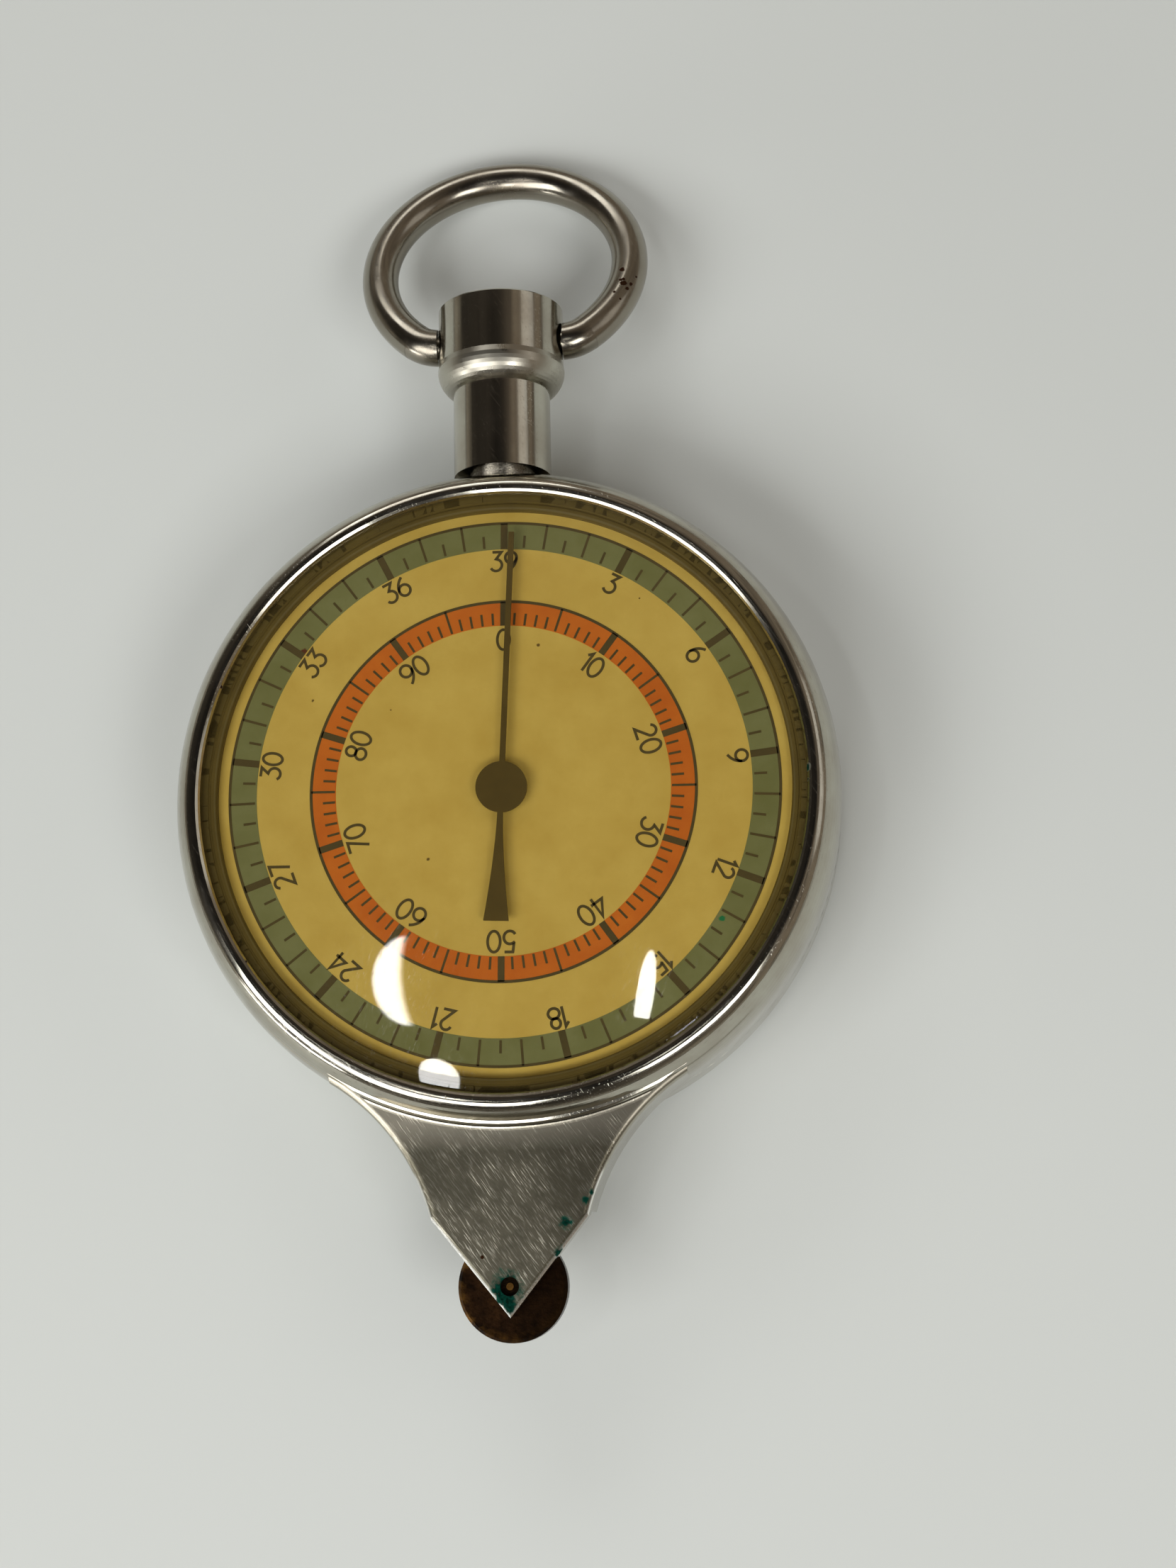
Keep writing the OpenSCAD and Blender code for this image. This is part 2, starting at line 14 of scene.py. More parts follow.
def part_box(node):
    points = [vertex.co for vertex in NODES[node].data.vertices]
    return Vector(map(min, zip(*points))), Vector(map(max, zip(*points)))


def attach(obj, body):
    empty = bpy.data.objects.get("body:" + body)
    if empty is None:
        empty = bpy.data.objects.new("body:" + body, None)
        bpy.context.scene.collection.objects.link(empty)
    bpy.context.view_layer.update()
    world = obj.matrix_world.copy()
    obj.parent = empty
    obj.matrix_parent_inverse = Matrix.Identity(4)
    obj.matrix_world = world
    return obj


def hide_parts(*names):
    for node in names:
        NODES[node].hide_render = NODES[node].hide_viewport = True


bl_info = {
    "name": "Map measurer",
    "version": (1, 0, 0),
    "blender": (4, 5, 0),
    "location": "3D View > Sidebar > Map measurer",
    "description": "Dresses the packed frame of a pocket map measurer",
    "category": "Object",
}

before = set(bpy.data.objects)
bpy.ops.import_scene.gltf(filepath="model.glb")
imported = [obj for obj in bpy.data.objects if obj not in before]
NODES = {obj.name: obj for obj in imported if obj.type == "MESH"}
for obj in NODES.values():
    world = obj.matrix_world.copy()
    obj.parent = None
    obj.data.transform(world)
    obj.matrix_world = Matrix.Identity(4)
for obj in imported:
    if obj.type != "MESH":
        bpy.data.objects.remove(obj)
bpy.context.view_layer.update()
MM = 0.001

# Turned pieces: facets round the dial's rings and round the dome, the steps of the dome's arc,
# the edges that stay sharp, and the radius under which a point lies on the axis
RING_FACETS = 240
DOME_FACETS = 256
DOME_STEPS = 24
SHARP_DEGREES = 30
ON_AXIS = 1e-9

# Dial, in millimetres: the thickness of a layer of print, each scale's divisions, every how many
# of them have a number, and the radius of the numbers' middles
FILM = 0.01
OUTER_DIVISIONS = 39
INNER_DIVISIONS = 100
NUMBERED_EVERY = {"outer": 3, "inner": 10}
NUMBERS_R = {"outer": 15.99, "inner": 10.41}
# Name, inner and outer radius, and the layer of print that it lies on
BAND_RINGS = (
    ("outer_band", 16.86, 18.74, 0),
    ("inner_band", 11.4, 13.1, 0),
    ("outer_line", 18.63, 18.82, 1),
    ("inner_line", 13.0, 13.2, 1),
)
# Name, ticks in a whole turn, every how many one is left out, inner and outer radius, width, and
# the part of a gap by which the first is turned
TICK_RINGS = (
    ("outer_bold", 13, 0, 16.86, 18.72, 0.48, 0.0),
    ("outer_long", OUTER_DIVISIONS, 3, 16.98, 18.72, 0.17, 0.0),
    ("outer_short", OUTER_DIVISIONS, 0, 16.98, 17.85, 0.17, 0.5),
    ("inner_bold", 10, 0, 11.4, 13.1, 0.46, 0.0),
    ("inner_long", 10, 0, 11.46, 13.1, 0.16, 0.5),
    ("inner_short", INNER_DIVISIONS, 5, 11.46, 12.3, 0.16, 0.0),
)
# Numbers: the gap between digits as a share of their height, and the least cosine that a mitred
# corner is divided by, so that a sharp one doesn't shoot out
DIGIT_GAP = 0.16
MITRE_LIMIT = 0.35

# Crystal, in millimetres: its wall, bore and flange, where its dome starts, and its thickness
CRYSTAL_WALL_R = 20.42
CRYSTAL_BORE_R = 19.7
FLANGE_R = 20.95
FLANGE_LOW = 10.6
FLANGE_HIGH = 10.82
DOME_RIM_Z = 11.25
CRYSTAL_THICKNESS = 0.8
ACRYLIC_IOR = 1.49
# The stepped ring under it, as radii and heights
SEAT_PROFILE = (
    (19.5, 10.0),
    (20.94, 10.0),
    (20.94, 10.6),
    (20.12, 10.6),
    (20.06, 10.53),
    (19.98, 10.53),
    (19.92, 10.59),
    (19.66, 10.59),
    (19.56, 10.55),
    (19.5, 10.45),
)

# Tracing wheel, in millimetres: its axle, and where its rubbed rim starts and is full
WHEEL_Y = -32.9
RUBBED_FROM_R = 2.9
RUBBED_FULL_R = 3.6

# Marks of rust, copper salts and specks: (x, y, z, radius) in millimetres. A spot's ragged edge
# lies between this share of its radius and one whole radius further out.
SPOT_CORE = 0.45
DIAL_SPECKS = (
    (
        "#6A5730",
        (
            (2.6, 9.9, 10.0, 0.12),
            (-5.1, -4.65, 10.0, 0.1),
            (-13.0, 6.7, 10.0, 0.12),
            (6.2, 9.0, 10.0, 0.06),
            (9.6, 12.9, 10.0, 0.07),
            (-7.6, 5.8, 10.0, 0.06),
            (5.9, -8.3, 10.0, 0.06),
        ),
    ),
)
GREEN_SPECKS = (
    ("#0F7A5A", ((14.56, -9.37, 10.0, 0.2),)),
    ("#5A2E22", ((-13.6, 10.2, 10.0, 0.22),)),
)
# Nickel-plated nodes, and how each differs from plain plate
PLATED = (
    (
        "case_body",
        {
            "rust": ((-1.77, -31.0, 9.8, 0.12),),
            "green": (
                (-0.2, -32.95, 9.75, 0.95),
                (-0.2, -33.6, 9.75, 0.75),
                (-0.1, -34.2, 9.7, 0.45),
                (3.7, -28.94, 9.8, 0.4),
                (5.1, -27.5, 9.8, 0.26),
                (5.45, -27.0, 9.7, 0.18),
                (3.3, -30.9, 9.6, 0.4),
            ),
            # brush marks on the nose face, with painted sheen, painted shade and a painted
            # highlight
            "brushed_with_painted_light": True,
        },
    ),
    (
        "bezel",
        {
            "rust": (
                (-19.2, 7.7, 11.1, 0.16),
                (-18.6, 9.0, 11.1, 0.12),
                (-17.3, -11.4, 11.1, 0.15),
                (20.6, 3.4, 11.0, 0.14),
                (16.2, 12.9, 11.1, 0.12),
            ),
            "green": ((20.57, 0.4, 11.15, 0.28), (20.55, -0.4, 11.1, 0.16)),
        },
    ),
    ("stem_head", {}),
    ("stem_neck", {"collar": True}),
    (
        "bow",
        {
            "rust": (
                (8.7, 38.54, 6.59, 0.2),
                (8.92, 37.24, 7.06, 0.26),
                (8.63, 37.6, 6.98, 0.15),
                (9.36, 37.3, 6.84, 0.18),
                (9.1, 36.88, 7.06, 0.16),
                (8.63, 35.91, 7.43, 0.12),
                (8.19, 36.51, 7.41, 0.1),
                (8.84, 37.66, 6.95, 0.14),
                (9.74, 37.96, 6.46, 0.1),
            ),
            "worn": 1.5,
        },
    ),
    ("back_cover", {}),
    ("nose_plate", {}),
)
BRASS_NODES = (
    "dial_feet",
    "front_plate",
    "rear_plate",
    "plate_pillars",
    "centre_bush",
    "first_gear",
    "second_gear",
    "centre_gear",
)
STEEL_NODES = (
    "nose_plate_screws",
    "plate_screws",
    "stem_stud",
    "first_arbor",
    "second_arbor",
)

# The room's brightness from the floor's level, 0, to overhead, 1
SKY = (
    (0.0, "#9B958B"),
    (0.15, "#8F887C"),
    (0.45, "#7A7267"),
    (0.75, "#4E4840"),
    (0.88, "#1F1C19"),
    (1.0, "#0C0B0A"),
)
# The way that the room's lighter, warmer walls lie in
LIGHT_WALLS = (0.85, 0.55, 0)
# Lamps are aimed at the dial's centre, at this height in millimetres
AIM_Z = 10
# Soft lamps: name, azimuth and height in degrees, distance and size in metres, and strength
SOFT_LAMPS = (
    ("key", 222, 42, 0.85, (0.6, 0.42), 1.07),
    ("front", 258, 48, 0.8, (0.16, 0.2), 1.8),
    ("side", 311, 48, 0.8, (0.34, 0.26), 1.3),
    ("fill", 15, 30, 0.9, (0.5, 0.35), 0.12),
    ("back", 105, 32, 0.9, (0.5, 0.25), 0.6),
    ("low", 215, 9, 0.8, (0.35, 0.1), 2.0),
)
# Small lamps that the dome shows: name, azimuth, height, size, the way the length lies, and the
# rims that shape it: centre, stretch, and the radii where each is dark and lit
GLINT_AWAY = 0.6
GLINT_STRENGTH = 16.0
GLINTS = (
    (
        "glint_left",
        198.8,
        71.4,
        (0.038, 0.088),
        (-0.051, 0.994, 0.091),
        (((1.0, 0.5), (0.5, 1.0), 0.5, 0.47), ((2.0, 0.5), (0.5, 0.69), 0.59, 0.68)),
    ),
    (
        "glint_right",
        311.0,
        80.6,
        (0.018, 0.066),
        (0.183, 0.978, 0.102),
        (((0.45, 0.35), (1.0, 0.75), 0.5, 0.46),),
    ),
    (
        "glint_low",
        227.7,
        70.2,
        (0.026, 0.042),
        (0.871, -0.485, 0.082),
        (((0.5, 0.5), (1.0, 1.0), 0.52, 0.48),),
    ),
)

# Floor, in metres: it lies a hair under the back, so that the two don't share a plane
FLOOR_RADIUS = 3.0
FLOOR_FACETS = 96
FLOOR_Z = -0.00002

# Camera, fitted to the photograph: its focal length and the photograph's width in pixels, its
# place in metres, and its turn as an axis whose length is the angle
FOCAL_PIXELS = 3400
PHOTO_WIDTH = 1659
SENSOR_WIDTH = 36.0
CAMERA_PLACE = (0.020317, -0.034133, 0.167803)
CAMERA_TURN = (-0.2115, -0.0936, 0.0308)

# The two value inputs and the output of a Mix node, for numbers and for colours
MIX_SOCKETS = {"FLOAT": (2, 3, 0), "RGBA": (6, 7, 2)}


# ---------------------------------------------------------------- helpers


def linear(text, alpha=1.0):
    """An sRGB hex colour as the linear RGBA that shaders read."""
    parts = [int(text[i : i + 2], 16) / 255 for i in (1, 3, 5)]
    return tuple(
        c / 12.92 if c <= 0.04045 else ((c + 0.055) / 1.055) ** 2.4 for c in parts
    ) + (alpha,)


def add(tree, kind, inputs=None, **settings):
    """Adds a node with its settings. An input takes a plain value, or a socket to link from."""
    node = tree.nodes.new(kind)
    for name, value in settings.items():
        setattr(node, name, value)
    for name, value in (inputs or {}).items():
        if isinstance(value, bpy.types.NodeSocket):
            tree.links.new(value, node.inputs[name])
        else:
            node.inputs[name].default_value = value
    return node


def new_material(name):
    """An empty material with its tree, its output node and the piece's Object coordinates."""
    mat = bpy.data.materials.new(name)
    mat.use_nodes = True
    tree = mat.node_tree
    tree.nodes.clear()
    out = add(tree, "ShaderNodeOutputMaterial")
    place = add(tree, "ShaderNodeTexCoord").outputs["Object"]
    return mat, tree, out, place


def dress(nodes, mat):
    """Gives CAD nodes a better material."""
    for node in nodes:
        data = NODES[node].data
        data.materials.clear()
        data.materials.append(mat)


def new_piece(name, mesh, mat, body):
    """A finished piece at the origin, riding on a body."""
    mesh.materials.append(mat)
    obj = bpy.data.objects.new(name, mesh)
    bpy.context.scene.collection.objects.link(obj)
    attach(obj, body)
    return obj


def closed_mesh(bm, name):
    """A mesh from closed shapes, with their faces turned outwards."""
    bmesh.ops.recalc_face_normals(bm, faces=bm.faces)
    mesh = bpy.data.meshes.new(name)
    bm.to_mesh(mesh)
    bm.free()
    return mesh


def lathe(name, profile, facets):
    """A closed ring or disc about +Z from a closed profile of radii and heights in millimetres."""
    bm = bmesh.new()
    angles = [2 * math.pi * i / facets for i in range(facets)]
    rings = []
    for r, z in profile:
        if r < ON_AXIS:
            rings.append([bm.verts.new((0, 0, z * MM))] * facets)
            continue
        rings.append(
            [bm.verts.new((r * MM * math.cos(a), r * MM * math.sin(a), z * MM)) for a in angles]
        )
    for low, high in zip(rings, rings[1:] + rings[:1]):
        for i in range(facets):
            j = (i + 1) % facets
            corners = []
            for v in (low[i], low[j], high[j], high[i]):
                if v not in corners:
                    corners.append(v)
            if len(corners) > 2:
                bm.faces.new(corners)
    mesh = closed_mesh(bm, name)
    mesh.shade_smooth()
    mesh.set_sharp_from_angle(angle=math.radians(SHARP_DEGREES))
    return mesh


def ball_arc(ball, centre_z, start_r, end_r):
    """Profile points on a ball, from one radius about the dial's axis to another."""
    points = []
    for i in range(DOME_STEPS + 1):
        r = start_r * (1 - i / DOME_STEPS) + end_r * i / DOME_STEPS
        points.append((r, centre_z + math.sqrt(ball * ball - r * r)))
    return points


# ---------------------------------------------------------------- what a user would change


def colour_property(name, description, colour):
    """A colour that a user would change, from its hex value."""
    return bpy.props.FloatVectorProperty(
        name=name, description=description, subtype="COLOR", size=4, default=linear(colour)
    )


def length_property(name, description, length):
    """A length that a user would change, from its millimetres."""
    return bpy.props.FloatProperty(
        name=name, description=description, default=length * MM, unit="LENGTH"
    )


class PlateFinish(bpy.types.PropertyGroup):
    """Nickel plate over brass."""

    colour: colour_property("Plate", "Colour of the clean plate", "#B7B4A7")
    roughness: bpy.props.FloatProperty(
        name="Roughness",
        description="Roughness of the polished plate",
        default=0.13,
        min=0.02,
        max=0.6,
    )


class DialPrint(bpy.types.PropertyGroup):
    """Sizes and colours of the printed dial, and the crystal's tint over it."""

    paper: colour_property("Ground", "Colour of the dial's ground", "#D9C67C")
    ink: colour_property("Ink", "Colour of the numbers and ticks", "#4A4431")
    green: colour_property("Outer band", "Colour of the outer scale's band", "#7E886E")
    orange: colour_property("Inner band", "Colour of the inner scale's band", "#D67A2D")
    turn: bpy.props.FloatProperty(
        name="Print turn",
        description="How far the print is turned on the dial",
        default=math.radians(-1.15),
        subtype="ANGLE",
    )
    outer_height: length_property("Outer numbers", "Height of the outer scale's numbers", 1.54)
    inner_height: length_property("Inner numbers", "Height of the inner scale's numbers", 1.6)
    tint: colour_property(
        "Crystal tint", "What each of the crystal's two faces takes from the light", "#FBF7E8"
    )
    stroke: length_property("Stroke", "Width of the numbers' strokes", 0.19)


class StageLook(bpy.types.PropertyGroup):
    """Floor and lamps."""

    floor: colour_property("Floor", "Colour of the floor", "#DDE1DD")
    key: bpy.props.FloatProperty(
        name="Soft lamps",
        description="Strength of all the soft lamps",
        default=4.4,
        min=0,
    )


# ---------------------------------------------------------------- patterns


def mottle(tree, place, size, low, high, stretch=(1, 1, 1), turn=0.0, detail=4.0):
    """A 0 to 1 pattern: noise with features of a size in millimetres, cut between low and high.

    The features are stretched, and then turned by degrees.
    """
    laid = add(
        tree,
        "ShaderNodeMapping",
        {"Vector": place, "Rotation": (0, 0, math.radians(turn)), "Scale": stretch},
        vector_type="TEXTURE",
    ).outputs[0]
    grain = add(
        tree,
        "ShaderNodeTexNoise",
        {"Vector": laid, "Scale": 1 / (size * MM), "Detail": detail, "Roughness": 0.6},
    ).outputs["Fac"]
    return add(
        tree, "ShaderNodeMapRange", {"Value": grain, "From Min": low, "From Max": high}
    ).outputs["Result"]


def spots(tree, place, marks, edge=0.35):
    """A 0 to 1 pattern of ragged spots, whose edges are soft over a share of their radius."""
    ragged = mottle(tree, place, 0.5, 0.3, 0.7)
    whole = None
    for x, y, z, radius in marks:
        size = radius * MM
        soft = size * edge * 0.5
        away = add(
            tree,
            "ShaderNodeVectorMath",
            {0: place, 1: (x * MM, y * MM, z * MM)},
            operation="DISTANCE",
        ).outputs["Value"]
        reach = add(
            tree,
            "ShaderNodeMath",
            {0: ragged, 1: size, 2: size * SPOT_CORE},
            operation="MULTIPLY_ADD",
        ).outputs[0]
        left = add(tree, "ShaderNodeMath", {0: reach, 1: away}, operation="SUBTRACT").outputs[0]
        near = add(
            tree, "ShaderNodeMapRange", {"Value": left, "From Min": -soft, "From Max": soft}
        ).outputs["Result"]
        if whole is not None:
            near = add(tree, "ShaderNodeMath", {0: whole, 1: near}, operation="MAXIMUM").outputs[0]
        whole = near
    return whole


def along(tree, place, axis, start, end):
    """0 to 1 between two places along an axis, in millimetres."""
    where = add(tree, "ShaderNodeSeparateXYZ", {0: place}).outputs[axis]
    return add(
        tree,
        "ShaderNodeMapRange",
        {"Value": where, "From Min": start * MM, "From Max": end * MM},
    ).outputs["Result"]


def overlap(tree, *masks):
    """Where every mask holds. Each is a socket, or a number that scales the rest."""
    whole = masks[0]
    for mask in masks[1:]:
        whole = add(tree, "ShaderNodeMath", {0: whole, 1: mask}, operation="MULTIPLY").outputs[0]
    return whole


def layered(tree, base, *layers):
    """A base with layers of (mask, what it shows) laid over it in turn.

    They are all numbers or all colours. A colour is a hex text, four numbers or a socket.
    """
    for mask, layer in layers:
        ends = [linear(end) if isinstance(end, str) else end for end in (base, layer)]
        colours = [isinstance(e, tuple) or getattr(e, "type", None) == "RGBA" for e in ends]
        kind = "RGBA" if any(colours) else "FLOAT"
        low, high, out = MIX_SOCKETS[kind]
        base = add(
            tree, "ShaderNodeMix", {0: mask, low: ends[0], high: ends[1]}, data_type=kind
        ).outputs[out]
    return base


# ---------------------------------------------------------------- materials


def finish_metal(tree, out, tone, rough, height, depth=0.02):
    """A metal surface from its colour and roughness, with a relief of a depth in millimetres."""
    relief = add(
        tree, "ShaderNodeBump", {"Height": height, "Strength": 1.0, "Distance": depth * MM}
    ).outputs[0]
    shader = add(
        tree,
        "ShaderNodeBsdfPrincipled",
        {"Base Color": tone, "Metallic": 1.0, "Roughness": rough, "Normal": relief},
    )
    tree.links.new(shader.outputs[0], out.inputs["Surface"])


def rubbed_face(tree, place):
    """The nose's flat face: its mask, its colour, and its short light scratches.

    Real brush marks are a few hundredths of a millimetre wide. They are drawn about 0.1 mm
    wide, so that they show. Its colour holds painted light: a painted sheen lightens the face
    towards the case, and painted shade darkens it towards the right.
    """
    face = overlap(
        tree,
        along(tree, place, "Z", 9.9, 9.82),
        along(tree, place, "Y", -15, -16),
        along(tree, place, "Z", 9.55, 9.7),
    )
    strokes = mottle(tree, place, 0.11, 0.52, 0.72, (11, 1, 1), -55, 2.0)
    weak = mottle(tree, place, 0.09, 0.50, 0.75, (8, 1, 1), -38, 2.0)
    patches = mottle(tree, place, 2.2, 0.42, 0.60)
    strokes = overlap(tree, strokes, layered(tree, 0.25, (patches, 1.0)))
    tone = layered(
        tree,
        "#6B6758",
        (patches, "#7A7565"),
        (overlap(tree, weak, 0.35), "#8A8473"),
        (strokes, "#D3CDBC"),
        # lighter towards the case: a painted sheen
        (overlap(tree, along(tree, place, "Y", -24.2, -22.3), 0.6), "#DDD5C2"),
        # darker towards the right: painted shade
        (overlap(tree, along(tree, place, "X", 0.5, 6.0), 0.45), "#403B30"),
    )
    return face, tone, strokes


def plated_material(name, props, rust=(), green=(), worn=1.0, brushed_with_painted_light=False, collar=False):
    """Nickel plate on brass: a warm grey mirror, dulled by handling, with hair scratches.

    Rust-brown pits and green copper salts sit at marks. Worn pieces are rougher, and a
    brush-marked nose face and a satin collar are duller than the rest. The nose face carries
    painted light: a painted sheen and painted shade on its face, and a painted highlight along
    the bevel round its V. Real hair scratches are about 0.01 mm wide, too fine to show, so they
    are drawn 0.07 mm wide and faint.
    """
    mat, tree, out, place = new_material(name)
    smudge = mottle(tree, place, 4.0, 0.35, 0.7)
    hairs = mottle(tree, place, 0.07, 0.66, 0.74, (30, 1, 1), -55, 1.0)
    tone = layered(tree, tuple(props.colour), (smudge, "#A59E90"))
    if worn > 1:
        tone = layered(tree, tone, (worn - 1, "#6E6558"))
    rough = layered(
        tree,
        props.roughness * 0.7 * worn,
        (smudge, props.roughness * 1.5 * worn),
        (overlap(tree, hairs, 0.4), props.roughness * 2.5),
    )
    height = overlap(tree, hairs, -0.1)
    if collar:
        satin = along(tree, place, "Y", 28.9, 29.7)
        dull = overlap(tree, satin, mottle(tree, place, 1.2, 0.2, 0.5))
        rough = layered(tree, rough, (dull, 0.34))
    if brushed_with_painted_light:
        # the nose face's colour, with its painted sheen and painted shade
        face, rubbed_with_painted_light, strokes = rubbed_face(tree, place)
        # the bevel round the nose's V, painted near white: a painted highlight
        edge = overlap(
            tree, along(tree, place, "Z", 9.35, 9.5), along(tree, place, "Y", -25.4, -25.9)
        )
        tone = layered(tree, tone, (edge, "#F4F2EC"), (face, rubbed_with_painted_light))
        rough = layered(tree, rough, (face, layered(tree, 0.38, (strokes, 0.28))))
        height = layered(tree, height, (face, overlap(tree, strokes, 0.4)))
    if rust:
        pits = spots(tree, place, rust)
        tone = layered(tree, tone, (pits, "#3B2415"))
        rough = layered(tree, rough, (pits, 0.7))
    if green:
        salts = spots(tree, place, green, 0.8)
        crust = layered(tree, "#08291F", (mottle(tree, place, 0.25, 0.35, 0.65), "#155546"))
        tone = layered(tree, tone, (salts, crust))
        rough = layered(tree, rough, (salts, 0.85))
    finish_metal(tree, out, tone, rough, height)
    return mat


def cut_metal(name, dark, light, roughness, size=0.8):
    """Turned or cut metal: its tone drifts a little, with fine tool marks.

    Real tool marks are about 0.01 mm wide, and are drawn 0.05 mm wide, so that they show.
    """
    mat, tree, out, place = new_material(name)
    tone = layered(tree, dark, (mottle(tree, place, size, 0.3, 0.7), light))
    marks = mottle(tree, place, 0.05, 0.4, 0.7, (8, 1, 1), 20, 2.0)
    rough = layered(tree, roughness, (marks, roughness * 1.7))
    finish_metal(tree, out, tone, rough, overlap(tree, marks, 0.2))
    return mat


def print_material(name, colour, aged, specks=()):
    """Ink, enamel, lacquer or fibre: even and matt, mottled by age, and specked where marked."""
    mat, tree, out, place = new_material(name)
    tone = layered(
        tree,
        colour,
        (mottle(tree, place, 3.0, 0.3, 0.75), aged),
        (overlap(tree, mottle(tree, place, 0.18, 0.45, 0.8), 0.3), aged),
        *[(spots(tree, place, marks), speck) for speck, marks in specks],
    )
    shader = add(tree, "ShaderNodeBsdfPrincipled", {"Base Color": tone, "Roughness": 0.5})
    tree.links.new(shader.outputs[0], out.inputs["Surface"])
    return mat


def crystal_material(tint):
    """Cast acrylic, yellowed by age: a faint amber tint on all behind it, and a soft polish.

    Its hair scratches are drawn 0.07 mm wide, as the plate's are.
    """
    mat, tree, out, place = new_material("yellowed acrylic")
    clear = add(tree, "ShaderNodeBsdfTransparent", {"Color": tint})
    scratch = mottle(tree, place, 0.07, 0.66, 0.70, (60, 1, 1), 64, 1.0)
    polish = layered(tree, 0.015, (mottle(tree, place, 2.5, 0.4, 0.7), 0.03), (scratch, 0.2))
    gloss = add(tree, "ShaderNodeBsdfGlossy", {"Color": (1, 1, 1, 1), "Roughness": polish})
    # light isn't bent on its way in, so the inner face mirrors no more than the outer one
    inside = add(tree, "ShaderNodeNewGeometry").outputs["Backfacing"]
    bending = layered(tree, ACRYLIC_IOR, (inside, 1 / ACRYLIC_IOR))
    fresnel = add(tree, "ShaderNodeFresnel", {"IOR": bending})
    whole = add(
        tree,
        "ShaderNodeMixShader",
        {0: fresnel.outputs[0], 1: clear.outputs[0], 2: gloss.outputs[0]},
    )
    tree.links.new(whole.outputs[0], out.inputs["Surface"])
    return mat


def wheel_material():
    """Steel gone brown with old rust and oil: near black inside, golden at the worn rim.

    The rim shows brighter on the left as a painted highlight, and the right side is darkened
    as painted shade.
    """
    mat, tree, out, place = new_material("brown patinated steel")
    level = add(
        tree, "ShaderNodeVectorMath", {0: place, 1: (1, 1, 0)}, operation="MULTIPLY"
    ).outputs[0]
    away = add(
        tree,
        "ShaderNodeVectorMath",
        {0: level, 1: (0, WHEEL_Y * MM, 0)},
        operation="DISTANCE",
    ).outputs["Value"]
    rim = add(
        tree,
        "ShaderNodeMapRange",
        {"Value": away, "From Min": RUBBED_FROM_R * MM, "From Max": RUBBED_FULL_R * MM},
    ).outputs["Result"]
    # the worn rim, full on the left and faint on the right: real wear with a painted highlight on
    # the left
    rubbed_with_painted_light = overlap(tree, rim, layered(tree, 1.0, (along(tree, place, "X", -2.5, 1.5), 0.25)))
    tone = layered(
        tree,
        "#1C130D",
        (mottle(tree, place, 1.6, 0.35, 0.65), "#3A2615"),
        (overlap(tree, mottle(tree, place, 0.3, 0.5, 0.7), 0.6), "#100B07"),
        (overlap(tree, rubbed_with_painted_light, mottle(tree, place, 1.1, 0.42, 0.6)), "#7A5626"),
        # darker towards the right: painted shade
        (overlap(tree, along(tree, place, "X", -1.5, 2.5), 0.6), "#0D0906"),
    )
    rough = layered(tree, 0.5, (rim, 0.32))
    finish_metal(tree, out, tone, rough, mottle(tree, place, 0.25, 0.3, 0.7), 0.01)
    return mat


# ---------------------------------------------------------------- numbers drawn as strokes


def arc(cx, cy, rx, ry, start, end, steps):
    """Points of an elliptical arc, angles in degrees."""
    angles = [math.radians(start + (end - start) * i / steps) for i in range(steps + 1)]
    return [(cx + rx * math.cos(a), cy + ry * math.sin(a)) for a in angles]


def bend(a, b, c, d, steps):
    """Points of a cubic curve."""
    out = []
    for i in range(steps + 1):
        t = i / steps
        u = 1 - t
        shares = (u**3, 3 * u * u * t, 3 * u * t * t, t**3)
        out.append(
            tuple(sum(share * p[k] for share, p in zip(shares, (a, b, c, d))) for k in (0, 1))
        )
    return out


def loop(cx, cy, rx, ry, steps):
    """A closed stroke round an ellipse."""
    return True, arc(cx, cy, rx, ry, 0, 360, steps)[:-1]


def digits():
    """Each number as its width and its strokes of (closed, points), on a height of 1."""
    two = arc(0.28, 0.73, 0.26, 0.27, 165, -30, 14) + [(0.0, 0.0), (0.56, 0.0)]
    three = [(0.04, 1.0), (0.5, 1.0), (0.23, 0.63)] + arc(0.23, 0.31, 0.3, 0.31, 80, -150, 18)
    four = [(0.45, 0.0), (0.45, 1.0), (0.0, 0.28), (0.62, 0.28)]
    five = [(0.5, 1.0), (0.1, 1.0), (0.05, 0.56)] + arc(0.25, 0.31, 0.29, 0.31, 130, -150, 18)
    six_back = bend((0.43, 1.0), (0.2, 0.86), (0.02, 0.62), (0.01, 0.3), 10)
    nine_back = bend((0.59, 0.7), (0.58, 0.38), (0.4, 0.14), (0.17, 0.0), 10)
    return {
        "0": (0.6, [loop(0.3, 0.5, 0.3, 0.5, 32)]),
        "1": (0.2, [(False, [(0.0, 0.8), (0.19, 1.0), (0.19, 0.0)])]),
        "2": (0.56, [(False, two)]),
        "3": (0.53, [(False, three)]),
        "4": (0.6, [(False, four)]),
        "5": (0.55, [(False, five)]),
        "6": (0.58, [loop(0.3, 0.3, 0.29, 0.3, 28), (False, six_back)]),
        "7": (0.52, [(False, [(0.0, 1.0), (0.54, 1.0), (0.16, 0.0)])]),
        "8": (0.56, [loop(0.28, 0.75, 0.23, 0.25, 24), loop(0.28, 0.26, 0.28, 0.26, 28)]),
        "9": (0.58, [loop(0.3, 0.7, 0.29, 0.3, 28), (False, nine_back)]),
    }


